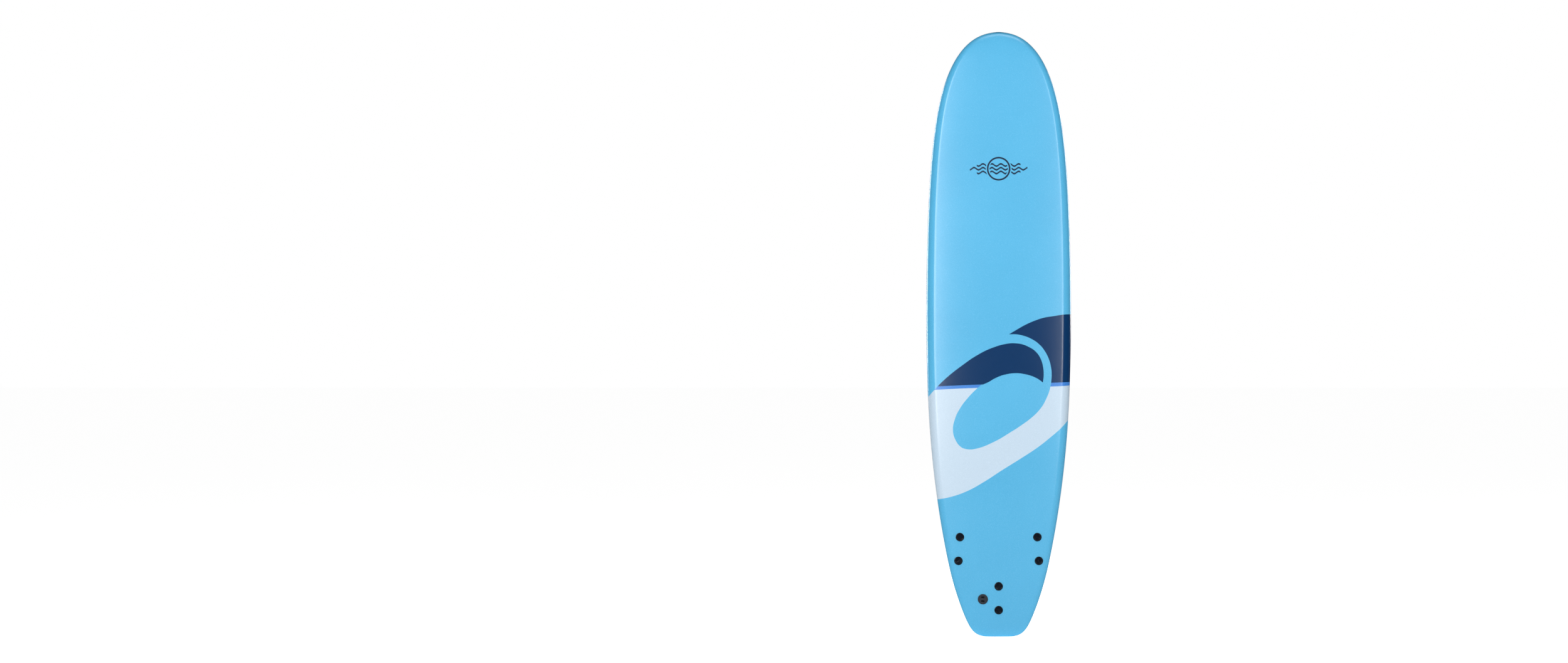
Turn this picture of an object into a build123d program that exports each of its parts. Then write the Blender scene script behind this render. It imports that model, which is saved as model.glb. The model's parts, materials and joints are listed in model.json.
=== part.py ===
"""A soft-top longboard with three bolt-through fins, standing on its tail.

Millimetres. +Z runs from tail to nose, +X is across the board, the deck faces -Y, and the
bottom and the fins face +Y. The origin is the middle of the flat end of the tail.
"""

import os
from collections import namedtuple

from build123d import *

# ---- Board ----
LENGTH = 2438.4
TAIL_LIFT = 50.0  # how far the rocker lifts the tail's bottom towards the deck side
NOSE_LIFT = 122.0
LOW_POINT = 1060.0  # height above the tail where the bottom is lowest in the water
TAIL_CURVE, NOSE_CURVE = 2.1, 2.3  # exponents of the two rocker curves

DECK_FOAM = 5.0  # thickness of the deck skin over the deck and the rails
BOTTOM_FOAM = 1.0  # its thickness where it runs on under the core
SLICK = 0.9  # thickness of the bottom sheet
SLICK_GAP = 0.1  # between the bottom sheet and the skin
END_ZONE = 60.0  # the last stretch at each end, where what lies inside the outline draws in
SLICK_END = 6.0  # how far the bottom sheet stops short of the tail and the nose

# Cross-sections: height above the tail, half width, thickness, and a width that scales the rail's curve
Station = namedtuple("Station", "z half_width thickness rail")
STATIONS = [
    Station(0, 60, 21, 11),
    Station(6, 82, 26, 13),
    Station(22, 104, 32.5, 14),
    Station(56, 126, 37.5, 13),
    Station(115, 151, 44, 13),
    Station(210, 182.5, 52.2, 13.5),
    Station(360, 217, 63, 14.5),
    Station(580, 253, 73.6, 16),
    Station(850, 280.5, 82, 17.8),
    Station(1150, 292.3, 86, 18.5),
    Station(1450, 292.6, 85.6, 18.5),
    Station(1750, 284, 79.6, 17.5),
    Station(2000, 264.5, 69, 16.5),
    Station(2190, 230, 57, 15.5),
    Station(2310, 184, 47.5, 15),
    Station(2380, 134, 39, 16),
    Station(2418, 83, 30.5, 17),
    Station(2433, 41, 21, 11),
    Station(LENGTH, 10, 9, 3),
]
TAIL_END_THICKNESS = STATIONS[0].thickness
BOTTOM_Y = TAIL_LIFT + TAIL_END_THICKNESS / 2  # the bottom at its lowest point

# The rail's curve, in rail widths in from the outline and shares of the thickness up from the bottom
BOTTOM_EDGE = 0.45  # where the flat bottom ends
SLICK_EDGE = 0.55  # where the bottom sheet ends
WIDEST = 0.41  # how high the outline is
SHOULDER = (1.9, 0.905)  # where the rail runs over into the deck

# ---- Stringers ----
STRINGER_WIDTH = 5.0
SIDE_STRINGER_X = 95.0
# Each one's x, and how high above the tail it starts and ends: the centre one clears the fin bolts
STRINGERS = {
    "stringer_left": (-SIDE_STRINGER_X, 75.0, 2345.0),
    "stringer_centre": (0.0, 262.0, 2400.0),
    "stringer_right": (SIDE_STRINGER_X, 75.0, 2345.0),
}

# ---- Fins: each is blade, base plate and two posts in one ----
BOLT_SPACING = 96.0
SIDE_FIN_X, SIDE_FIN_Z = 159.6, 351.5
CENTRE_FIN_Z = 152.5
TOE_IN = 0.064  # sideways run of a side fin for each millimetre along it
BASE_LENGTH, BASE_WIDTH, BASE_THICKNESS = 144.0, 26.0, 4.0
RIDGE_LENGTH, RIDGE_WIDTH, RIDGE_HEIGHT = 126.0, 15.0, 2.2
FIN_GAP = SLICK_GAP + SLICK + 0.3  # from the skin to the base plate, just clear of the bottom sheet
POST_R, POST_BORE_R = 6.0, 4.05
POST_TO_SEAT = 12.0  # from a post's end to the seat of its screw
BLADE_HEIGHT = 115.0
# The blade's foil: height above the bottom, trailing edge, leading edge, thickness
BLADE = [
    (4.5, -54, 58, 6.6),
    (30, -52, 43, 6.0),
    (58, -57, 21, 5.0),
    (82, -67, -6, 4.0),
    (101, -79, -37, 3.0),
    (111, -86, -61, 2.2),
    (BLADE_HEIGHT, -87, -76, 1.4),
]

# ---- Fin screws and their sleeves ----
HEAD_R, HEAD_THICKNESS = 17.0, 4.2
HEAD_DISH_R, HEAD_DISH_DEPTH = 12.6, 0.9
COIN_SLOT = (20.0, 2.6, 1.7)  # length, width, depth below the dish
SEAT_DEPTH = 1.7  # how far the screw's seat is sunk into the deck
SEAT_CLEARANCE = 0.5
SCREW_GAP = 0.1  # under a screw's head
SHANK_R, SHANK_LENGTH = 4.0, 31.0
SLEEVE_R, SLEEVE_BORE_R = 7.6, 6.08
FLANGE_R, FLANGE_THICKNESS = 14.5, 1.5

# ---- Leash plug ----
PLUG_X, PLUG_Z = -63.8, 152.5
PLUG_R, PLUG_RIM = 20.5, 3.2  # radius and height of the disc on the deck
PLUG_DISH_R, PLUG_DISH_DEPTH = 16.6, 1.3
CUP_R, CUP_DEPTH, CUP_WALL = 16.0, 17.0, 2.0
WINDOW_LENGTH, WINDOW_WIDTH, WINDOW_OFFSET = 13.0, 6.4, 7.8
PLATE = 3.0  # thickness of the bar and the plate round the windows, below the dish
BARREL_R = 7.0
PLUG_HEAD_R, PLUG_HEAD_THICKNESS = 17.5, 3.4
PLUG_SHANK_LENGTH = 20.0
PLUG_SEAT_DEPTH = 0.8


def bottom_y(z):
    """Where the middle of the bottom is, z above the tail."""
    if z < LOW_POINT:
        return BOTTOM_Y - TAIL_LIFT * ((LOW_POINT - z) / LOW_POINT) ** TAIL_CURVE
    return BOTTOM_Y - NOSE_LIFT * ((z - LOW_POINT) / (LENGTH - LOW_POINT)) ** NOSE_CURVE


def drawn_in(z, amount):
    """The height z moved away from the board's ends, by the amount at an end and less further off."""
    share = max(0, 1 - z / END_ZONE) - max(0, 1 - (LENGTH - z) / END_ZONE)
    return z + amount * share


def core_station(s):
    """The core's station inside a station of the board."""
    half_width = s.half_width - DECK_FOAM
    rail = s.rail * half_width / s.half_width
    return Station(drawn_in(s.z, DECK_FOAM), half_width, s.thickness - DECK_FOAM - BOTTOM_FOAM, rail)


def section(s, bottom):
    """The face of one cross-section: a flat bottom, two rounded rails and a crowned deck."""
    width, rail, thickness = s.half_width, s.rail, s.thickness
    shoulder = (width - SHOULDER[0] * rail, bottom - SHOULDER[1] * thickness)
    crown = (0.45 * shoulder[0], bottom - (4 - SHOULDER[1]) * thickness / 3)
    slope = (shoulder[1] - crown[1]) / (shoulder[0] - crown[0])
    right = [
        (width - BOTTOM_EDGE * rail, bottom),
        (width - 0.05 * rail, bottom),
        (width, bottom - 0.2 * thickness),
        (width, bottom - WIDEST * thickness),
        (width, bottom - 0.7 * thickness),
        (shoulder[0] + 0.95 * rail, shoulder[1] + 0.95 * rail * slope),
        shoulder,
    ]
    left = [(-x, y) for x, y in reversed(right)]
    with BuildSketch(Plane.XY.offset(s.z)) as face:
        with BuildLine():
            Line(left[-1], right[0])
            for side in (right, left):
                Bezier(*side[:4])
                Bezier(*side[3:])
            Bezier(shoulder, crown, (-crown[0], crown[1]), left[0])
        make_face()
    return face.sketch


def surface_point(shell, x, z, side):
    """The point and outward normal of a shell at (x, z), on its +Y side (side 1) or -Y side (-1)."""
    hits = shell.find_intersection_points(Axis((x, 0, z), (0, 1, 0)))
    point, normal = max(hits, key=lambda hit: side * hit[0].Y)
    return point, normal * (1 if normal.Y * side > 0 else -1)


def depth_along(shell, plane, x=0.0):
    """How far below a plane's local point (x, 0, 0) the far side of a shell lies."""
    start = plane.from_local_coords((x, 0, 0))
    hits = shell.find_intersection_points(Axis(start, plane.z_dir * -1))
    return max((hit[0] - start).dot(plane.z_dir * -1) for hit in hits)


def save(part, label):
    """Name a finished piece and write it."""
    part.label = label
    export_step(part, f"parts/{label}.step")


os.makedirs("parts", exist_ok=True)

# ---- The board's outer shape, and the core's shape inside it ----
with BuildPart() as hull:
    loft([section(s, bottom_y(s.z)) for s in STATIONS])
hull_shell = hull.part.shell()

with BuildPart() as core:
    loft([section(core_station(s), bottom_y(s.z) - BOTTOM_FOAM) for s in STATIONS])

# ---- Planes of the fittings: their origin is on the board's surface and +Z points out of it ----


def fin_plane(x, z, toe):
    """The plane of a fin's base, with its local +X towards the nose."""
    point, normal = surface_point(hull_shell, x, z, 1)
    return Plane((x, point.Y, z), x_dir=Vector(toe, 0, 1), z_dir=normal)


FIN_PLANES = {
    "left": fin_plane(-SIDE_FIN_X, SIDE_FIN_Z, TOE_IN),
    "right": fin_plane(SIDE_FIN_X, SIDE_FIN_Z, -TOE_IN),
    "centre": fin_plane(0, CENTRE_FIN_Z, 0),
}
POST_XS = {"front": BOLT_SPACING / 2, "rear": -BOLT_SPACING / 2}

deck_point, deck_normal = surface_point(hull_shell, PLUG_X, PLUG_Z, -1)
bottom_point, bottom_normal = surface_point(hull_shell, PLUG_X, PLUG_Z, 1)
PLUG_PLANE = Plane(deck_point, x_dir=(1, 0, 0), z_dir=(deck_normal - bottom_normal).normalized())
PLUG_DEPTH = depth_along(hull_shell, PLUG_PLANE)
PLUG_SCREW_PLANE = Plane(
    PLUG_PLANE.origin - PLUG_PLANE.z_dir * (PLUG_DEPTH - PLUG_SEAT_DEPTH),
    x_dir=(1, 0, 0),
    z_dir=PLUG_PLANE.z_dir * -1,
)


def seat_plane(plane, x):
    """The plane of a fin screw's seat in the deck, over the post at local x."""
    depth = depth_along(hull_shell, plane, x) - SEAT_DEPTH
    return Plane(
        plane.from_local_coords((x, 0, -depth)), x_dir=plane.x_dir, z_dir=plane.z_dir * -1
    )


SEATS = {
    f"{fin}_{end}": seat_plane(FIN_PLANES[fin], x)
    for fin in FIN_PLANES
    for end, x in POST_XS.items()
}
SEAT_TO_BASE = {
    f"{fin}_{end}": depth_along(hull_shell, FIN_PLANES[fin], x) - SEAT_DEPTH
    for fin in FIN_PLANES
    for end, x in POST_XS.items()
}


def disc(plane, radius, top, bottom):
    """A plain round cutter or body between two heights of a plane."""
    with BuildPart(plane) as cutter:
        with Locations((0, 0, bottom)):
            Cylinder(radius, top - bottom, align=(Align.CENTER, Align.CENTER, Align.MIN))
    return cutter.part


# ---- Pieces that line the holes ----


def make_sleeve(plane, depth):
    """A tube from a screw's seat to the bottom's surface, with a flange under the screw's head."""
    with BuildPart(plane) as sleeve:
        with Locations((0, 0, -depth)):
            Cylinder(SLEEVE_R, depth, align=(Align.CENTER, Align.CENTER, Align.MIN))
        with Locations((0, 0, -FLANGE_THICKNESS)):
            Cylinder(FLANGE_R, FLANGE_THICKNESS, align=(Align.CENTER, Align.CENTER, Align.MIN))
        Cylinder(SLEEVE_BORE_R, 3 * depth, mode=Mode.SUBTRACT)
    return sleeve.part


def sleeve_hole(plane, depth):
    """The space that a sleeve and the head above it take out of the board."""
    tube = disc(plane, SLEEVE_R, 0, -depth - 10)
    flange = disc(plane, FLANGE_R, 0, -FLANGE_THICKNESS)
    seat = disc(plane, HEAD_R + SEAT_CLEARANCE, 12, 0)
    return [tube, flange, seat]


holes = []
for name, plane in SEATS.items():
    holes += sleeve_hole(plane, SEAT_TO_BASE[name])
    save(make_sleeve(plane, SEAT_TO_BASE[name]), f"fin_sleeve_{name}")

# ---- Leash plug: a cup with a bar in the deck, and the screw that holds it from the bottom ----
with BuildPart(PLUG_PLANE) as leash_plug:
    with BuildSketch(PLUG_PLANE.offset(-1.2)):
        Circle(PLUG_R)
    extrude(amount=PLUG_RIM + 1.2)
    fillet(leash_plug.edges().group_by(Axis(PLUG_PLANE.origin, PLUG_PLANE.z_dir))[-1], 1.4)
    with BuildSketch(PLUG_PLANE.offset(-CUP_DEPTH)):
        Circle(CUP_R)
    extrude(amount=CUP_DEPTH)
    with BuildSketch(PLUG_PLANE.offset(PLUG_SEAT_DEPTH - PLUG_DEPTH)):
        Circle(BARREL_R)
    extrude(amount=PLUG_DEPTH - PLUG_SEAT_DEPTH - CUP_DEPTH)
    with BuildSketch(PLUG_PLANE.offset(PLUG_RIM)):
        Circle(PLUG_DISH_R)
    extrude(amount=-PLUG_DISH_DEPTH, mode=Mode.SUBTRACT)
    plate_top = PLUG_RIM - PLUG_DISH_DEPTH
    with BuildSketch(PLUG_PLANE.offset(plate_top)):
        with Locations((0, WINDOW_OFFSET), (0, -WINDOW_OFFSET)):
            RectangleRounded(WINDOW_LENGTH, WINDOW_WIDTH, 1.0)
    extrude(amount=-PLATE - 1, mode=Mode.SUBTRACT)
    with BuildSketch(PLUG_PLANE.offset(plate_top - PLATE)):
        Circle(CUP_R - CUP_WALL)
    extrude(amount=-(CUP_DEPTH + plate_top - PLATE - CUP_WALL), mode=Mode.SUBTRACT)
    with BuildSketch(PLUG_PLANE.offset(PLUG_SEAT_DEPTH - PLUG_DEPTH)):
        Circle(POST_BORE_R)
    extrude(amount=PLUG_SHANK_LENGTH + 2, mode=Mode.SUBTRACT)
save(leash_plug.part, "leash_plug_cup")

holes += [
    disc(PLUG_PLANE, PLUG_R, 12, -1.2),
    disc(PLUG_PLANE, CUP_R, 0, -CUP_DEPTH),
    disc(PLUG_PLANE, BARREL_R, 0, PLUG_SEAT_DEPTH - PLUG_DEPTH),
    disc(PLUG_SCREW_PLANE, PLUG_HEAD_R + SEAT_CLEARANCE, 12, 0),
]


def make_screw(plane, head_r, head_thickness, shank_length, dish_r, slot_turn):
    """A coin-slot screw whose head stands on a plane, with its shank below it."""
    along = Axis(plane.origin, plane.z_dir)
    with BuildPart(plane) as screw:
        with BuildSketch(plane.offset(SCREW_GAP)):
            Circle(head_r)
        extrude(amount=head_thickness)
        fillet(screw.edges().group_by(along)[-1], 1.9)
        top = SCREW_GAP + head_thickness
        with BuildSketch(plane.offset(top)):
            Circle(dish_r)
        extrude(amount=-HEAD_DISH_DEPTH, mode=Mode.SUBTRACT)
        fillet(screw.edges().group_by(along)[-1], 0.5)
        with BuildSketch(plane.offset(top - HEAD_DISH_DEPTH)):
            SlotOverall(COIN_SLOT[0], COIN_SLOT[1], rotation=slot_turn)
        extrude(amount=-COIN_SLOT[2], mode=Mode.SUBTRACT)
        with BuildSketch(plane.offset(SCREW_GAP)):
            Circle(SHANK_R)
        extrude(amount=-shank_length)
        chamfer(screw.edges().group_by(along)[0], 0.8)
    return screw.part


# ---- Fin screws ----
SLOT_TURNS = [38, -52, 61, 24, -35, 47]
for (name, plane), turn in zip(SEATS.items(), SLOT_TURNS):
    screw = make_screw(plane, HEAD_R, HEAD_THICKNESS, SHANK_LENGTH, HEAD_DISH_R, turn)
    save(screw, f"fin_screw_{name}")

plug_screw = make_screw(
    PLUG_SCREW_PLANE, PLUG_HEAD_R, PLUG_HEAD_THICKNESS, PLUG_SHANK_LENGTH, 11.4, 40
)
save(plug_screw, "leash_plug_screw")

# ---- Fins ----


def blade_section(plane, height, trailing, leading, thickness):
    """One foil of a blade: round at the leading edge and sharp at the trailing edge."""
    chord = leading - trailing
    thickest = trailing + 0.62 * chord
    with BuildSketch(plane.offset(height)) as foil:
        with BuildLine():
            for side in (1, -1):
                Spline(
                    (leading, 0),
                    (thickest, side * thickness / 2),
                    (trailing, 0),
                    tangents=[(0, side), (-chord, -side * thickness)],
                )
        make_face()
    return foil.sketch


def make_fin(plane, post_depths):
    """A fin on its plane, with a post for each bolt, as deep as its place in the board allows."""
    with BuildPart(plane) as fin:
        loft([blade_section(plane, *foil) for foil in BLADE])
        with BuildSketch(plane.offset(FIN_GAP)):
            SlotOverall(BASE_LENGTH, BASE_WIDTH)
        extrude(amount=BASE_THICKNESS, taper=14)
        with BuildSketch(plane.offset(FIN_GAP + BASE_THICKNESS)):
            SlotOverall(RIDGE_LENGTH, RIDGE_WIDTH)
        extrude(amount=RIDGE_HEIGHT, taper=28)
        for end, depth in post_depths.items():
            with BuildSketch(plane.offset(-depth)):
                with Locations((POST_XS[end], 0)):
                    Circle(POST_R)
            extrude(amount=depth + FIN_GAP)
            with BuildSketch(plane.offset(-depth)):
                with Locations((POST_XS[end], 0)):
                    Circle(POST_BORE_R)
            extrude(amount=SHANK_LENGTH - POST_TO_SEAT + 2, mode=Mode.SUBTRACT)
    return fin.part


for fin, plane in FIN_PLANES.items():
    depths = {end: SEAT_TO_BASE[f"{fin}_{end}"] - POST_TO_SEAT for end in POST_XS}
    save(make_fin(plane, depths), f"fin_{fin}")

# ---- Foam, stringers and skins ----


def prism_between(x_low, x_high, z_low, z_high):
    """An upright block that is deeper than the board, between two x and two z."""
    with BuildPart() as block:
        with Locations(((x_low + x_high) / 2, 0, (z_low + z_high) / 2)):
            Box(x_high - x_low, 600, z_high - z_low)
    return block.part


stringers = {}
for name, (x, low, high) in STRINGERS.items():
    block = prism_between(x - STRINGER_WIDTH / 2, x + STRINGER_WIDTH / 2, low, high)
    with BuildPart() as stringer:
        add(core.part)
        add(block, mode=Mode.INTERSECT)
    stringers[name] = stringer.part
    save(stringer.part, name)

STRIP_EDGES = [-400, -SIDE_STRINGER_X, 0, SIDE_STRINGER_X, 400]
STRIP_NAMES = ["core_left_rail", "core_left", "core_right", "core_right_rail"]
for name, low, high in zip(STRIP_NAMES, STRIP_EDGES, STRIP_EDGES[1:]):
    block = prism_between(low, high, -10, LENGTH + 10)
    with BuildPart() as strip:
        add(core.part)
        add(block, mode=Mode.INTERSECT)
        add(list(stringers.values()) + holes, mode=Mode.SUBTRACT)
    save(strip.part, name)


def slick_section(s):
    """A cross-section of the bottom sheet, which lies flat on the bottom."""
    z = drawn_in(s.z, SLICK_END)
    half_width = s.half_width - SLICK_EDGE * s.rail
    with BuildSketch(Plane.XY.offset(z)) as face:
        with Locations((0, bottom_y(z) + SLICK_GAP + SLICK / 2)):
            Rectangle(2 * half_width, SLICK)
    return face.sketch


with BuildPart() as bottom_slick:
    loft([slick_section(s) for s in STATIONS])
    add(holes, mode=Mode.SUBTRACT)
save(bottom_slick.part, "bottom_slick")

with BuildPart() as deck_skin:
    add(hull.part)
    add(core.part, mode=Mode.SUBTRACT)
    add(holes, mode=Mode.SUBTRACT)
save(deck_skin.part, "deck_skin")
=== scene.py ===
"""The look of a soft-top longboard: a printed foam deck, a slick bottom, fins and fittings.

The board's shapes and prints are written in millimetres and scaled to metres at the end. The
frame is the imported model's: +Z from tail to nose, the deck faces -Y, the bottom faces +Y.
"""

import json
from math import cos, pi, radians, sin

import bmesh
import bpy
import numpy as np
from mathutils import Matrix, Vector


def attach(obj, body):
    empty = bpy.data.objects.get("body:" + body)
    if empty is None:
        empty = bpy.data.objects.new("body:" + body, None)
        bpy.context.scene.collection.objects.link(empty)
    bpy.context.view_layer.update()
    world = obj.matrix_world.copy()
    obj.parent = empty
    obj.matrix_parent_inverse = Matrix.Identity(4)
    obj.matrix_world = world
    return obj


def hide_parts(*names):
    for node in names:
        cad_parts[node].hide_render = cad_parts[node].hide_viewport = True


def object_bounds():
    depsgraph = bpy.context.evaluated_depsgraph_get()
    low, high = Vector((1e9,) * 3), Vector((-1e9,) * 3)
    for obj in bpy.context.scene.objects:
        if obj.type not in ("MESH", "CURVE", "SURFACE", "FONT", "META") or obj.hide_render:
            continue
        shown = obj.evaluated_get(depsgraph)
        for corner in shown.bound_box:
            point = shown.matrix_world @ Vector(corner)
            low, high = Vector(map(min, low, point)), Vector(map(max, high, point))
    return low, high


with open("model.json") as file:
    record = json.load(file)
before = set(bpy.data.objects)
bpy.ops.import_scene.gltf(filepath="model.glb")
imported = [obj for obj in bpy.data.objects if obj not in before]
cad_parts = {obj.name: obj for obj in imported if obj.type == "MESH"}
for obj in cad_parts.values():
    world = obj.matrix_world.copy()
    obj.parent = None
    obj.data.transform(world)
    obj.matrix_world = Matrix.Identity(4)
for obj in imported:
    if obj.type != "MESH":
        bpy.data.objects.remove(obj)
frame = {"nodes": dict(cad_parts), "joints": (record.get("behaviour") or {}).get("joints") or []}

CAD_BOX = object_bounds()
MM = 0.001

# ---- The board, as its own part has it ----
LENGTH = 2438.4
TAIL_LIFT, NOSE_LIFT = 50.0, 122.0  # how far the rocker lifts the ends towards the deck side
LOW_POINT = 1060.0  # height above the tail where the bottom is lowest in the water
TAIL_CURVE, NOSE_CURVE = 2.1, 2.3  # exponents of the two rocker curves
BOTTOM_Y = 60.5  # the bottom at its lowest point
END_ZONE = 60.0  # the last stretch at each end, where the bottom sheet draws in
# The rail's curve, in rail widths in from the outline and shares of the thickness up from the bottom
BOTTOM_EDGE, WIDEST = 0.45, 0.41
SHOULDER = (1.9, 0.905)  # where the rail runs over into the deck
AFTER_EDGE, BELOW_WIDEST, ABOVE_WIDEST, BELOW_SHOULDER = 0.05, 0.2, 0.7, 0.95
CROWN = 0.45  # how far out the deck's crown is shaped, as a share of the shoulder's x
SLICK, SLICK_GAP = 0.9, 0.1  # the bottom sheet's thickness, and its gap to the skin
SLICK_END = 6.0  # how far it stops short of the tail and the nose
SLICK_EDGE = 0.55  # where it ends, in rail widths
SLICK_ROUNDING = 0.4
SLICK_MARGIN = 2.0  # plain sheet between its last flat point and its rounded edge

# Height above the tail, half width, thickness, and a width that scales the rail's curve
STATIONS = [
    (0, 60, 21, 11),
    (6, 82, 26, 13),
    (22, 104, 32.5, 14),
    (56, 126, 37.5, 13),
    (115, 151, 44, 13),
    (210, 182.5, 52.2, 13.5),
    (360, 217, 63, 14.5),
    (580, 253, 73.6, 16),
    (850, 280.5, 82, 17.8),
    (1150, 292.3, 86, 18.5),
    (1450, 292.6, 85.6, 18.5),
    (1750, 284, 79.6, 17.5),
    (2000, 264.5, 69, 16.5),
    (2190, 230, 57, 15.5),
    (2310, 184, 47.5, 15),
    (2380, 134, 39, 16),
    (2418, 83, 30.5, 17),
    (2433, 41, 21, 11),
    (LENGTH, 10, 9, 3),
]
RINGS_BETWEEN = 14  # cross-sections from one station to the next
BOTTOM_POINTS, EDGE_POINTS, RAIL_POINTS, DECK_POINTS = 30, 14, 18, 64  # in one cross-section
SLICK_POINTS, ROUNDING_POINTS = 40, 5

# Steps of the fin screws' holes, as (radius, depth below the seat) from the outside in
CLEAR = 12.0  # how far a cutter goes on past a seat, to be clear of the board
SCREW_HOLE = [(17.5, -CLEAR), (17.5, 0), (14.5, 0), (14.5, 1.5), (7.6, 1.5), (7.6, 90)]
# The leash plug's hole, as (radius, depth below the deck)
PLUG_SEAT, PLUG_CUP = (20.5, 1.2), (16, 17)
PLUG_BARREL, PLUG_SCREW_SEAT = 7, 18  # radii
SCREW_HEAD = 4.3  # from a fin screw's seat to the top of its head
PLUG_HEAD = 3.5  # the same for the leash plug's screw
PLUG_RIM = 3.2  # from the deck to the top of the leash plug
TURN_STEPS = 64  # sides of a round hole
SHARP_ANGLE = 35  # degrees, over which an edge stays sharp

# The studio, in metres and watts
FLOOR_HALF = 40.0
FLOOR_GAP = 0.0005  # from the floor to the board's tail
FLOOR_GLOW = 0.93
DIM_ROOM = 0.06  # what is round the board, as the board sees it
WHITE_WALL = 1.0  # and as the camera sees it
SOFTBOXES = [
    # name, place, (width, height), power
    ("left_softbox", (-1.13, -3.1, 1.5), (0.26, 1.8), 38),
    ("right_softbox", (1.2, -3.1, 1.5), (0.16, 1.8), 24),
    ("top_softbox", (0.2, -2.2, 4.4), (2.2, 1.4), 40),
    ("back_left_softbox", (-2.4, 2.4, 2.0), (0.4, 2.2), 50),
    ("back_right_softbox", (2.2, 2.8, 2.3), (0.4, 2.2), 38),
]

# The camera looks level and square at the deck, and the board stands right of the picture's middle
DISTANCE = 9.0
EYE_HEIGHT = 1.2344
FRAME_WIDTH = 6.3526  # how much the picture's width spans at the origin
SENSOR_WIDTH = 36.0  # millimetres
SHIFT = -0.1369  # of the lens, as a share of the picture's width


# ---- Shapes ----


def spline(xs, ys, at):
    """A smooth curve through the points (xs, ys), read at the places in at."""
    xs, ys = np.array(xs, float), np.array(ys, float)
    h = np.diff(xs)
    slopes = np.diff(ys) / h
    n = len(xs)
    system, right = np.eye(n), np.zeros(n)
    for i in range(1, n - 1):
        system[i, i - 1 : i + 2] = h[i - 1], 2 * (h[i - 1] + h[i]), h[i]
        right[i] = 6 * (slopes[i] - slopes[i - 1])
    bend = np.linalg.solve(system, right)
    i = np.clip(np.searchsorted(xs, at, side="right") - 1, 0, n - 2)
    a, b = (xs[i + 1] - at) / h[i], (at - xs[i]) / h[i]
    curved = ((a**3 - a) * bend[i] + (b**3 - b) * bend[i + 1]) * h[i] ** 2 / 6
    return a * ys[i] + b * ys[i + 1] + curved


def bottom_y(z):
    """Where the middle of the bottom is, z above the tail."""
    tail = TAIL_LIFT * (np.clip(LOW_POINT - z, 0, None) / LOW_POINT) ** TAIL_CURVE
    nose = NOSE_LIFT * (np.clip(z - LOW_POINT, 0, None) / (LENGTH - LOW_POINT)) ** NOSE_CURVE
    return BOTTOM_Y - tail - nose


def drawn_in(z, amount):
    """The height z moved away from the board's ends, by the amount at an end and less further off."""
    share = np.clip(1 - z / END_ZONE, 0, None) - np.clip(1 - (LENGTH - z) / END_ZONE, 0, None)
    return z + amount * share


def board_stations():
    """Height, half width, thickness and rail of all cross-sections, evenly along the outline."""
    table = np.array(STATIONS, float)
    steps = np.hypot(np.diff(table[:, 0]), np.diff(table[:, 1]))
    along = np.concatenate([[0], np.cumsum(steps)])
    places = [np.linspace(a, b, RINGS_BETWEEN, False) for a, b in zip(along, along[1:])]
    places = np.append(np.concatenate(places), along[-1])
    return [spline(along, column, places) for column in table.T]


def bezier(points, count):
    """Places along a Bezier curve, without its last end."""
    t = np.linspace(0, 1, count, False)
    points = [np.array(p, float) for p in points]
    while len(points) > 1:
        points = [(1 - t)[:, None] * a + t[:, None] * b for a, b in zip(points, points[1:])]
    return points[0]


def board_ring(width, thickness, rail, bottom):
    """One cross-section of the whole board, going round from the middle of the bottom."""
    shoulder = (width - SHOULDER[0] * rail, bottom - SHOULDER[1] * thickness)
    crown = (CROWN * shoulder[0], bottom - (4 - SHOULDER[1]) * thickness / 3)
    slope = (shoulder[1] - crown[1]) / (shoulder[0] - crown[0])
    edge = (width - BOTTOM_EDGE * rail, bottom)
    after_edge = (width - AFTER_EDGE * rail, bottom)
    below_widest = (width, bottom - BELOW_WIDEST * thickness)
    widest = (width, bottom - WIDEST * thickness)
    above_widest = (width, bottom - ABOVE_WIDEST * thickness)
    run = BELOW_SHOULDER * rail
    below_shoulder = (shoulder[0] + run, shoulder[1] + run * slope)
    right = [
        bezier([(0, bottom), edge], BOTTOM_POINTS),
        bezier([edge, after_edge, below_widest, widest], EDGE_POINTS),
        bezier([widest, above_widest, below_shoulder, shoulder], RAIL_POINTS),
    ]
    deck = [shoulder, crown, (-crown[0], crown[1]), (-shoulder[0], shoulder[1])]
    deck = bezier(deck, DECK_POINTS)
    right = np.concatenate(right)
    left = right[1:][::-1] * (-1, 1)
    return np.concatenate([right, deck, [(-shoulder[0], shoulder[1])], left])


def slick_ring(width, bottom):
    """One cross-section of the bottom sheet, flat, with softened outer edges."""
    turn = np.linspace(0, pi / 2, ROUNDING_POINTS)
    inner, outer = bottom + SLICK_GAP, bottom + SLICK_GAP + SLICK
    corner_x = width - SLICK_ROUNDING + SLICK_ROUNDING * np.sin(turn)
    corner_y = outer - SLICK_ROUNDING + SLICK_ROUNDING * np.cos(turn)
    across = np.linspace(0, width - SLICK_MARGIN, SLICK_POINTS)
    back = np.linspace(width, 0, SLICK_POINTS, False)
    right = [
        np.column_stack([across, np.full(SLICK_POINTS, outer)]),
        np.column_stack([corner_x, corner_y]),
        np.column_stack([back, np.full(SLICK_POINTS, inner)]),
        [(0, inner)],
    ]
    right = np.concatenate(right)
    left = right[1:-1][::-1] * (-1, 1)
    return np.concatenate([right, left])


def mesh_piece(name, bm):
    """A new object from a bmesh in millimetres."""
    bmesh.ops.recalc_face_normals(bm, faces=bm.faces)
    mesh = bpy.data.meshes.new(name)
    bm.to_mesh(mesh)
    bm.free()
    mesh.transform(Matrix.Scale(MM, 4))
    piece = bpy.data.objects.new(name, mesh)
    bpy.context.scene.collection.objects.link(piece)
    return piece


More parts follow.
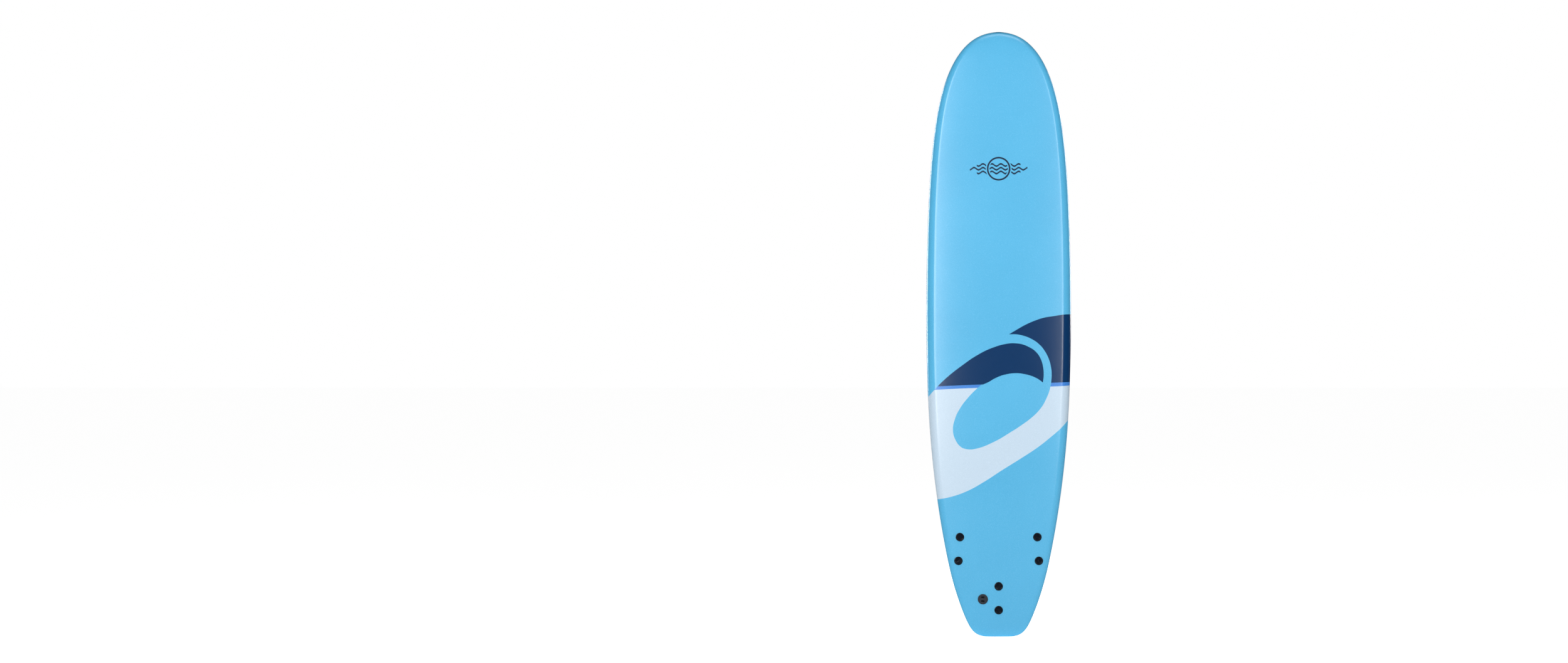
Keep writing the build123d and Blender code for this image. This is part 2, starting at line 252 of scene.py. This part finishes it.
def close_over(bm, loops):
    """Faces from each loop of vertices to the next, and a face over each end."""
    for low, high in zip(loops, loops[1:]):
        for i in range(len(low)):
            bm.faces.new((low[i - 1], low[i], high[i], high[i - 1]))
    bm.faces.new(loops[0][::-1])
    bm.faces.new(loops[-1])


def tube_of_rings(name, rings, heights):
    """A closed piece through cross-sections at their heights."""
    bm = bmesh.new()
    loops = [[bm.verts.new((x, y, z)) for x, y in ring] for ring, z in zip(rings, heights)]
    close_over(bm, loops)
    return mesh_piece(name, bm)


def stepped_cutters(name, holes):
    """Round stepped cutters, one for each (origin, axis, steps), as one object."""
    bm = bmesh.new()
    turns = [2 * pi * k / TURN_STEPS for k in range(TURN_STEPS)]
    for origin, axis, steps in holes:
        side = axis.orthogonal().normalized()
        other = axis.cross(side)
        rim = [side * cos(t) + other * sin(t) for t in turns]
        loops = []
        for radius, depth in steps:
            centre = origin - axis * depth
            loops.append([bm.verts.new(centre + radius * spoke) for spoke in rim])
        close_over(bm, loops)
    return mesh_piece(name, bm)


def cut(piece, cutter):
    """Takes the cutter out of the piece, for good."""
    modifier = piece.modifiers.new("holes", "BOOLEAN")
    modifier.object = cutter
    modifier.operation = "DIFFERENCE"
    modifier.solver = "EXACT"
    graph = bpy.context.evaluated_depsgraph_get()
    mesh = bpy.data.meshes.new_from_object(piece.evaluated_get(graph))
    piece.modifiers.clear()
    piece.data = mesh


def soften(piece):
    """Smooth shading, with the hard edges left sharp."""
    piece.data.shade_smooth()
    piece.data.set_sharp_from_angle(angle=radians(SHARP_ANGLE))


def joint_axis(child):
    """The direction in which a piece moves out of the board."""
    joint = next(j for j in frame["joints"] if j["child"] == child)
    return Vector(joint["axis"]).normalized()


def outer_end(node, axis):
    """The middle of a round piece's end, on the side that its axis points to, in millimetres."""
    points = [v.co / MM for v in frame["nodes"][node].data.vertices]
    side = axis.orthogonal().normalized()
    end = axis * max(p.dot(axis) for p in points)
    for direction in (side, axis.cross(side)):
        reach = [p.dot(direction) for p in points]
        end += direction * (min(reach) + max(reach)) / 2
    return end


def hole_list():
    """Where each hole starts, which way is out of it, and its steps."""
    holes = []
    for node in frame["nodes"]:
        if node.startswith("fin_screw"):
            axis = joint_axis(node)
            holes.append((outer_end(node, axis) - axis * SCREW_HEAD, axis, SCREW_HOLE))
    axis = -joint_axis("leash_plug_screw")
    deck = outer_end("leash_plug_cup", axis) - axis * PLUG_RIM
    seat = outer_end("leash_plug_screw", -axis) + axis * PLUG_HEAD
    depth = (deck - seat).dot(axis)
    (seat_radius, seat_depth), (cup_radius, cup_depth) = PLUG_SEAT, PLUG_CUP
    steps = [
        (seat_radius, -CLEAR),
        (seat_radius, seat_depth),
        (cup_radius, seat_depth),
        (cup_radius, cup_depth),
        (PLUG_BARREL, cup_depth),
        (PLUG_BARREL, depth),
        (PLUG_SCREW_SEAT, depth),
        (PLUG_SCREW_SEAT, depth + CLEAR),
    ]
    holes.append((deck, axis, steps))
    return holes


# ---- Materials ----


def rgb(red, green, blue):
    """A linear colour from the 0 to 255 values of a screen colour."""
    shares = [c / 255 for c in (red, green, blue)]
    return (*[c / 12.92 if c <= 0.04045 else ((c + 0.055) / 1.055) ** 2.4 for c in shares], 1.0)


class Paint:
    """A material's node tree, with short ways to add and join nodes."""

    def __init__(self, name):
        self.material = bpy.data.materials.new(name)
        self.material.use_nodes = True
        self.tree = self.material.node_tree
        self.shader = self.tree.nodes["Principled BSDF"]
        self.place = self.add("ShaderNodeTexCoord").outputs["Object"]

    def put(self, socket, value):
        """Joins a socket to a socket, or gives it a constant."""
        if isinstance(value, bpy.types.NodeSocket):
            self.tree.links.new(value, socket)
        else:
            socket.default_value = value

    def add(self, kind, inputs=None, **settings):
        """A new node with its inputs and settings."""
        node = self.tree.nodes.new(kind)
        for key, value in settings.items():
            setattr(node, key, value)
        for key, value in (inputs or {}).items():
            self.put(node.inputs[key], value)
        return node

    def math(self, operation, first, second=0.0, third=0.0, clamp=False):
        inputs = {0: first, 1: second, 2: third}
        return self.add("ShaderNodeMath", inputs, operation=operation, use_clamp=clamp).outputs[0]

    def spread(self, value, low, high, new_low, new_high, clamp=False):
        """A value's range, moved and stretched into a new one."""
        inputs = {"Value": value, "From Min": low, "From Max": high}
        inputs |= {"To Min": new_low, "To Max": new_high}
        return self.add("ShaderNodeMapRange", inputs, clamp=clamp).outputs["Result"]

    def mix(self, share, below, above, how="MIX"):
        """Two colours, the second over the first by a share."""
        node = self.add("ShaderNodeMix", data_type="RGBA", blend_type=how)
        for socket, value in zip((0, 6, 7), (share, below, above)):
            self.put(node.inputs[socket], value)
        return node.outputs[2]

    def noise(self, scale, detail=2.0, roughness=0.5, where=None):
        inputs = {"Vector": where or self.place, "Scale": scale}
        inputs |= {"Detail": detail, "Roughness": roughness}
        return self.add("ShaderNodeTexNoise", inputs).outputs["Fac"]

    def cells(self, scale):
        inputs = {"Vector": self.place, "Scale": scale}
        return self.add("ShaderNodeTexVoronoi", inputs).outputs["Distance"]

    def stretched(self, x, y, z):
        """The place on the piece, scaled along each axis."""
        inputs = {"Vector": self.place, "Scale": (x, y, z)}
        return self.add("ShaderNodeMapping", inputs).outputs["Vector"]

    def bump(self, height, distance, strength=1.0, under=None):
        inputs = {"Height": height, "Distance": distance, "Strength": strength}
        node = self.add("ShaderNodeBump", inputs)
        if under is not None:
            self.put(node.inputs["Normal"], under)
        return node.outputs["Normal"]

    def finish(self, **inputs):
        """Sets the shader's inputs, named with _ for a space, and gives the material."""
        for key, value in inputs.items():
            self.put(self.shader.inputs[key.replace("_", " ")], value)
        return self.material


class Print(Paint):
    """A material with a print, whose edges are curves in the board's x and z, in millimetres."""

    EDGE = 0.6  # how wide an edge between two inks is

    def __init__(self, name):
        super().__init__(name)
        axes = self.add("ShaderNodeSeparateXYZ", {"Vector": self.place})
        self.x = self.math("DIVIDE", axes.outputs["X"], MM)
        self.z = self.math("DIVIDE", axes.outputs["Z"], MM)

    def curve(self, along, points):
        """A smooth curve through the points (along, across), read at a coordinate."""
        points = sorted(points)
        low, high = points[0][0], points[-1][0]
        bottom, top = min(p[1] for p in points), max(p[1] for p in points)
        node = self.add("ShaderNodeFloatCurve", {"Value": self.spread(along, low, high, 0, 1)})
        node.mapping.use_clip = False
        node.mapping.extend = "EXTRAPOLATED"
        places = [((a - low) / (high - low), (b - bottom) / (top - bottom)) for a, b in points]
        dots = node.mapping.curves[0].points
        dots[0].location, dots[1].location = places[0], places[-1]
        for place in places[1:-1]:
            dots.new(*place)
        node.mapping.update()
        return self.spread(node.outputs["Value"], 0, 1, bottom, top)

    def past(self, value, limit):
        """1 where a value is over a limit, and 0 below it."""
        over = self.math("SUBTRACT", value, limit)
        return self.math("MULTIPLY_ADD", over, 1 / self.EDGE, 0.5, clamp=True)

    def above(self, points):
        """1 above a curve whose points are (x, z)."""
        return self.past(self.z, self.curve(self.x, points))

    def right_of(self, points):
        """1 to the +X side of a curve whose points are (x, z)."""
        return self.past(self.x, self.curve(self.z, [(z, x) for x, z in points]))

    def inverse(self, mask):
        return self.math("SUBTRACT", 1.0, mask)

    def below(self, points):
        return self.inverse(self.above(points))

    def left_of(self, points):
        return self.inverse(self.right_of(points))

    def all_of(self, *masks):
        result = masks[0]
        for mask in masks[1:]:
            result = self.math("MINIMUM", result, mask)
        return result

    def any_of(self, *masks):
        result = masks[0]
        for mask in masks[1:]:
            result = self.math("MAXIMUM", result, mask)
        return result


# Edges of the deck's print, as (x, z)
NAVY_TOP = [
    (-20, 1186), (41.5, 1223), (70, 1240), (109, 1262), (148, 1279), (186, 1291), (225, 1297),
    (264, 1303), (300, 1304),
]
RIBBON_TOP = [
    (0, 1221), (41.5, 1223), (70, 1223), (101, 1217), (135, 1203), (163, 1183.5), (186, 1156),
    (202, 1125),
]
RIBBON_RIGHT = [
    (135, 1203), (163, 1183.5), (186, 1156), (202, 1125), (211, 1094), (214, 1069),
    (213.5, 1043), (209, 1010), (195, 968), (167, 920), (114, 871),
]
CREST_TOP = [
    (-300, 950), (-263, 995), (-209, 1049), (-148, 1097), (-88, 1138), (-27, 1168),
    (33.5, 1185), (62, 1187), (94, 1183), (126, 1170), (151, 1152), (171, 1121.5),
]
CREST_RIGHT = [
    (126, 1170), (151, 1152), (171, 1121.5), (180, 1089), (182, 1061), (179, 1028), (174, 1000),
]
CREST_INNER = [
    (-128, 962), (-84, 1007), (-63, 1020), (-43, 1029), (-11, 1047), (25, 1060), (70, 1066),
    (110, 1061), (146.5, 1049), (179, 1028), (205, 1005),
]
LINE_TOP = [(-300, 1009.5), (-67, 1020), (212, 1027), (300, 1030.5)]
LINE_LOW = [(-300, 995), (-84, 1006.5), (210, 1012), (300, 1016.6)]
OVAL_LEFT = [
    (-105, 740), (-148, 764), (-172, 791), (-185, 835), (-176, 883), (-156, 924), (-128, 962),
    (-84, 1007), (-40, 1040),
]
OVAL_LOW = [
    (-190, 786), (-148, 764), (-120, 757.5), (-90, 761), (-27, 784.5), (54, 831), (114, 871),
    (167, 920), (195, 968),
]
PALE_LOW = [
    (-300, 545), (-247, 554.5), (-189, 567), (-128, 589), (-59, 627), (13, 673.5), (94, 724),
    (155, 764), (215, 811), (255.5, 847), (300, 899),
]

# Edges of the bottom's print
BLUE_OUTER = [
    (285, 2330), (165, 2215), (15, 1995), (-110, 1725), (-200, 1430), (-245, 1170), (-256, 960),
    (-240, 780), (-200, 620), (-135, 485), (-45, 375), (65, 290), (160, 230), (260, 170),
]
BLUE_INNER = [
    (290, 2318), (195, 2215), (40, 1995), (-75, 1725), (-158, 1430), (-196, 1190), (-196, 1000),
    (-165, 840), (-112, 695), (-33, 575), (80, 465), (185, 380), (290, 305),
]
NAVY_OUTER = [
    (290, 2285), (170, 2155), (37, 1938), (-70, 1668), (-137, 1430), (-177, 1210), (-182, 1020),
    (-156, 850), (-105, 715), (-30, 598), (70, 495), (180, 415), (290, 338),
]
NAVY_INNER = [
    (290, 2270), (120, 2045), (10, 1820), (-80, 1545), (-130, 1320), (-152, 1120), (-136, 960),
    (-92, 845), (-30, 760), (60, 675), (170, 594), (290, 510),
]
EYE_TOP = [
    (-102, 1064), (-66, 1095.5), (-21, 1105), (24, 1103), (87, 1086), (153, 1051), (220, 1006),
    (300, 940),
]
EYE_LEFT = [
    (-21, 1112), (-66, 1095.5), (-102, 1064), (-113, 1010), (-102, 947), (-66, 875), (-12, 803),
    (51, 740.5), (114, 687), (177, 633), (300, 535),
]
RING_TOP = [(44, 947), (65, 992), (105, 1023.5), (153, 1035), (210, 1031), (300, 1009)]
RING_LEFT = [
    (105, 1023.5), (65, 992), (44, 947), (42, 911), (56, 857.5), (87, 812), (128, 772),
    (170, 736), (300, 640),
]
PUPIL_TOP = [(67, 938), (83, 974), (114, 1001), (154.5, 1009), (210, 1004), (300, 982)]
PUPIL_LEFT = [(114, 1001), (83, 974), (67, 938), (66, 902), (70, 880)]
PUPIL_LOW = [(50, 885), (66, 902), (96, 919), (137, 925), (170, 921), (230, 903), (300, 868)]

# Inks, with two where one shades into the other
DECK_BLUES = (rgb(77, 164, 205), rgb(83, 170, 211))
NAVY = rgb(0, 46, 88)
LINE_BLUE = rgb(58, 122, 200)
PALE_BLUE = rgb(182, 200, 215)
MARK_NAVY = rgb(14, 36, 62)
GRAIN_GREYS = (rgb(176, 178, 180), rgb(200, 202, 204))
SLICK_WHITE = rgb(241, 242, 239)
SLICK_NAVY = rgb(0, 28, 76)
BAND_BLUES = (rgb(34, 142, 214), rgb(62, 168, 240))
HAZE_GREY = rgb(190, 196, 198)
CREST_END = 150.0  # the x from which the pale band and its line go on past the crest

# The deck's mark, in millimetres
MARK_HEIGHT = 1890.0
RING_INSIDE, RING_OUTSIDE = 41.0, 47.5
GAP_INSIDE, GAP_OUTSIDE = 37.0, 52.0  # the waves stop short of the ring on both sides
WAVE_LENGTH, WAVE_RISE, WAVE_INK = 36, 4.5, 3.4
WAVES = [(-15, 88), (0, 116), (15, 88)]  # each wave's height and how far it reaches


def roundel(paint):
    """The mask of a plain mark on the deck: a ring with three waves in it and short ones beside it."""
    height = paint.math("SUBTRACT", paint.z, MARK_HEIGHT)
    squares = paint.math("MULTIPLY", paint.x, paint.x)
    radius = paint.math("SQRT", paint.math("MULTIPLY_ADD", height, height, squares))
    ring = paint.all_of(paint.past(radius, RING_INSIDE), paint.past(RING_OUTSIDE, radius))
    wave = paint.math("SINE", paint.math("MULTIPLY", paint.x, 2 * pi / WAVE_LENGTH))
    lines = []
    for level, reach in WAVES:
        offset = paint.math("MULTIPLY_ADD", wave, -WAVE_RISE, height)
        offset = paint.math("ABSOLUTE", paint.math("SUBTRACT", offset, level))
        inside = paint.past(reach, paint.math("ABSOLUTE", paint.x))
        lines.append(paint.all_of(paint.past(WAVE_INK, offset), inside))
    gap = paint.any_of(paint.past(GAP_INSIDE, radius), paint.past(radius, GAP_OUTSIDE))
    return paint.any_of(ring, paint.all_of(paint.any_of(*lines), gap))


def deck_foam():
    """Closed-cell foam with a fine grain, printed in blue, navy and pale blue."""
    paint = Print("deck foam")
    under_crest, over_line = paint.below(CREST_TOP), paint.above(LINE_TOP)
    in_ribbon = paint.all_of(paint.below(RIBBON_TOP), paint.left_of(RIBBON_RIGHT))
    navy = paint.all_of(paint.below(NAVY_TOP), over_line, paint.inverse(in_ribbon))
    crest = [under_crest, paint.left_of(CREST_RIGHT), over_line, paint.above(CREST_INNER)]
    crest = paint.all_of(*crest)
    oval = [paint.right_of(OVAL_LEFT), paint.above(OVAL_LOW), paint.left_of(RIBBON_RIGHT)]
    left_or_right = paint.any_of(under_crest, paint.past(paint.x, CREST_END))
    beside = paint.all_of(paint.inverse(paint.all_of(*oval)), left_or_right)
    line = paint.all_of(paint.above(LINE_LOW), paint.inverse(over_line), beside)
    pale = paint.all_of(paint.below(LINE_LOW), paint.above(PALE_LOW), beside)
    cloud = paint.spread(paint.noise(2.2, detail=3), 0.3, 0.7, 0.0, 1.0, clamp=True)
    blue = paint.mix(cloud, *DECK_BLUES)
    colour = paint.mix(pale, blue, PALE_BLUE)
    colour = paint.mix(line, colour, LINE_BLUE)
    ink = paint.any_of(navy, crest)
    colour = paint.mix(ink, colour, NAVY)
    colour = paint.mix(roundel(paint), colour, MARK_NAVY)
    grain = paint.noise(420, detail=4, roughness=0.75)
    speckle = paint.spread(grain, 0.35, 0.65, 0.0, 1.0, clamp=True)
    colour = paint.mix(0.5, colour, paint.mix(speckle, *GRAIN_GREYS), "SOFT_LIGHT")
    pebbles = paint.math("MULTIPLY_ADD", paint.cells(620), 0.6, paint.math("MULTIPLY", grain, 0.5))
    creases = paint.noise(1.0, detail=3, roughness=0.55, where=paint.stretched(5, 5, 26))
    creased = paint.bump(creases, distance=0.0012, strength=0.35)
    normal = paint.bump(pebbles, distance=0.00012, strength=0.5, under=creased)
    # The navy ink is a little glossier than the foam
    gloss = paint.spread(grain, 0.3, 0.7, 0.21, 0.30)
    gloss = paint.math("MULTIPLY_ADD", ink, -0.05, gloss)
    inputs = {"Base_Color": colour, "Roughness": gloss, "Normal": normal}
    return paint.finish(**inputs, Specular_IOR_Level=0.55)


def bottom_sheet():
    """A smooth sheet of hard plastic, white with printed bands."""
    paint = Print("bottom sheet")
    blue = paint.all_of(paint.right_of(BLUE_OUTER), paint.left_of(BLUE_INNER))
    navy = paint.all_of(paint.right_of(NAVY_OUTER), paint.left_of(NAVY_INNER))
    eye = paint.all_of(paint.right_of(EYE_LEFT), paint.below(EYE_TOP))
    ring = paint.all_of(paint.right_of(RING_LEFT), paint.below(RING_TOP))
    pupil = [paint.right_of(PUPIL_LEFT), paint.below(PUPIL_TOP), paint.above(PUPIL_LOW)]
    pupil = paint.all_of(*pupil)
    navy = paint.any_of(navy, paint.all_of(eye, paint.inverse(ring)), pupil)
    length = paint.spread(paint.z, 0, LENGTH, 0.0, 1.0)
    colour = paint.mix(blue, SLICK_WHITE, paint.mix(length, *BAND_BLUES))
    haze = paint.noise(7, detail=5, roughness=0.6)
    haze = paint.spread(haze, 0.35, 0.75, 0.0, 0.05, clamp=True)
    colour = paint.mix(haze, colour, HAZE_GREY)
    colour = paint.mix(navy, colour, SLICK_NAVY)
    ripple = paint.noise(1.0, where=paint.stretched(9, 9, 4))
    rippled = paint.bump(ripple, distance=0.0010, strength=0.25)
    film = paint.noise(260, detail=3, roughness=0.6)
    normal = paint.bump(film, distance=0.00003, strength=0.4, under=rippled)
    scuffs = paint.noise(1.0, detail=6, roughness=0.7, where=paint.stretched(400, 400, 12))
    gloss = paint.spread(scuffs, 0.3, 0.8, 0.28, 0.34)
    inputs = {"Base_Color": colour, "Roughness": gloss, "Normal": normal}
    return paint.finish(**inputs, Specular_IOR_Level=0.4)


def moulded(name, dark, light, gloss, texture, edge):
    """Moulded plastic: a fine moulding texture, handling marks in the gloss, and worn edges."""
    paint = Paint(name)
    mottle = paint.noise(90, detail=4, roughness=0.6)
    mottle = paint.spread(mottle, 0.3, 0.7, 0.0, 1.0, clamp=True)
    colour = paint.mix(mottle, dark, light)
    rounded = paint.add("ShaderNodeBevel", {"Radius": edge}, samples=6).outputs["Normal"]
    normal = paint.bump(paint.noise(2400), distance=texture, strength=0.6, under=rounded)
    marks = paint.noise(1.0, detail=6, roughness=0.7, where=paint.stretched(900, 500, 160))
    roughness = paint.spread(marks, 0.3, 0.75, *gloss)
    return paint.finish(Base_Color=colour, Roughness=roughness, Normal=normal)


def bead_foam():
    """Expanded polystyrene, with its beads pressed flat against each other."""
    paint = Paint("bead foam")
    beads = paint.cells(260)
    shade = paint.spread(beads, 0.2, 0.7, 0, 1, clamp=True)
    colour = paint.mix(shade, rgb(244, 244, 240), rgb(222, 223, 220))
    normal = paint.bump(beads, distance=0.0004, strength=0.6)
    return paint.finish(Base_Color=colour, Roughness=0.75, Normal=normal)


def ply():
    """Pale ply with its grain along the board."""
    paint = Paint("ply")
    grain = paint.noise(1.0, detail=6, roughness=0.65, where=paint.stretched(260, 260, 9))
    shade = paint.spread(grain, 0.3, 0.7, 0, 1, clamp=True)
    colour = paint.mix(shade, rgb(176, 134, 88), rgb(214, 178, 130))
    normal = paint.bump(grain, distance=0.0002, strength=0.5)
    return paint.finish(Base_Color=colour, Roughness=0.6, Normal=normal)


def floor_paint():
    """A plain pale studio floor with the faintest unevenness."""
    paint = Paint("studio floor")
    tone = paint.noise(0.8, detail=3)
    colour = paint.mix(tone, rgb(246, 246, 245), rgb(251, 251, 250))
    # Light of its own keeps the floor as white as the wall behind it
    glow = {"Emission_Color": rgb(255, 255, 255), "Emission_Strength": FLOOR_GLOW}
    return paint.finish(Base_Color=colour, Roughness=0.75, **glow)


def paint_node(node, material):
    """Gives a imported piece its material."""
    slots = frame["nodes"][node].data.materials
    slots.clear()
    slots.append(material)


# ---- The board's two skins ----
heights, widths, thicknesses, rails = board_stations()
board_rings = [board_ring(*s) for s in zip(widths, thicknesses, rails, bottom_y(heights))]
deck_skin = tube_of_rings("foam_skin", board_rings, heights)

slick_heights = drawn_in(heights, SLICK_END)
slick_widths = widths - SLICK_EDGE * rails
slick_rings = [slick_ring(w, y) for w, y in zip(slick_widths, bottom_y(slick_heights))]
slick = tube_of_rings("slick_sheet", slick_rings, slick_heights)

cutters = stepped_cutters("hole_cutters", hole_list())
skins = [(deck_skin, "deck_skin", "deck_foam"), (slick, "bottom_slick", "bottom_sheet")]
for skin, node, slot_name in skins:
    cut(skin, cutters)
    soften(skin)
    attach(skin, "board")
    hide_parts(node)
bpy.data.objects.remove(cutters)
deck_skin.data.materials.append(deck_foam())
slick.data.materials.append(bottom_sheet())

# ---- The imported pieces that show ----
black, blue_black = rgb(5, 11, 20), rgb(9, 18, 30)
gloss_black = moulded("gloss black", black, blue_black, gloss=(0.10, 0.20), texture=0.000006, edge=0.0016)
slate, light_slate = rgb(27, 32, 41), rgb(36, 42, 52)
plug_grey = moulded("plug grey", slate, light_slate, gloss=(0.38, 0.55), texture=0.00003, edge=0.0004)
grey, light_grey = rgb(196, 196, 190), rgb(208, 208, 203)
sleeve_grey = moulded("sleeve grey", grey, light_grey, gloss=(0.4, 0.55), texture=0.00003, edge=0.0003)
foam_core = bead_foam()
wood = ply()
for node in frame["nodes"]:
    if node.startswith("fin_sleeve"):
        paint_node(node, sleeve_grey)
    elif node.startswith("fin"):
        paint_node(node, gloss_black)
    elif node.startswith("leash_plug"):
        paint_node(node, plug_grey)
    elif node.startswith("core"):
        paint_node(node, foam_core)
    elif node.startswith("stringer"):
        paint_node(node, wood)

# ---- Floor, light and camera ----
floor_mesh = bpy.data.meshes.new("studio_floor")
corners = [(FLOOR_HALF * x, FLOOR_HALF * y, 0) for x, y in ((-1, -1), (1, -1), (1, 1), (-1, 1))]
floor_mesh.from_pydata(corners, [], [(0, 1, 2, 3)])
floor_mesh.materials.append(floor_paint())
floor = bpy.data.objects.new("studio_floor", floor_mesh)
floor.location.z = CAD_BOX[0].z - FLOOR_GAP
bpy.context.scene.collection.objects.link(floor)
floor.visible_glossy = False

world = bpy.data.worlds.new("studio")
bpy.context.scene.world = world
world.use_nodes = True
wall = world.node_tree.nodes["Background"]
seen = world.node_tree.nodes.new("ShaderNodeLightPath").outputs["Is Camera Ray"]
tone = world.node_tree.nodes.new("ShaderNodeMapRange")
tone.inputs["To Min"].default_value = DIM_ROOM
tone.inputs["To Max"].default_value = WHITE_WALL
world.node_tree.links.new(seen, tone.inputs["Value"])
world.node_tree.links.new(tone.outputs["Result"], wall.inputs["Strength"])
wall.inputs["Color"].default_value = (1.0, 1.0, 1.0, 1.0)


def softbox(name, place, size, watts):
    """A rectangular studio light that faces the middle of the board."""
    light = bpy.data.lights.new(name, "AREA")
    light.shape = "RECTANGLE"
    light.size, light.size_y = size
    light.energy = watts
    lamp = bpy.data.objects.new(name, light)
    lamp.location = place
    towards = Vector((0, 0, LENGTH * MM / 2)) - Vector(place)
    lamp.rotation_euler = towards.to_track_quat("-Z", "Y").to_euler()
    lamp.visible_camera = False
    bpy.context.scene.collection.objects.link(lamp)


for box in SOFTBOXES:
    softbox(*box)

camera_data = bpy.data.cameras.new("camera")
camera_data.sensor_width = SENSOR_WIDTH
camera_data.lens = SENSOR_WIDTH * DISTANCE / FRAME_WIDTH
camera_data.shift_x = SHIFT
camera_data.clip_end = 200.0
camera = bpy.data.objects.new("camera", camera_data)
camera.location = (0, -DISTANCE, EYE_HEIGHT)
camera.rotation_euler = (radians(90), 0, 0)
bpy.context.scene.collection.objects.link(camera)
bpy.context.scene.camera = camera
bpy.context.scene.view_settings.view_transform = "Standard"
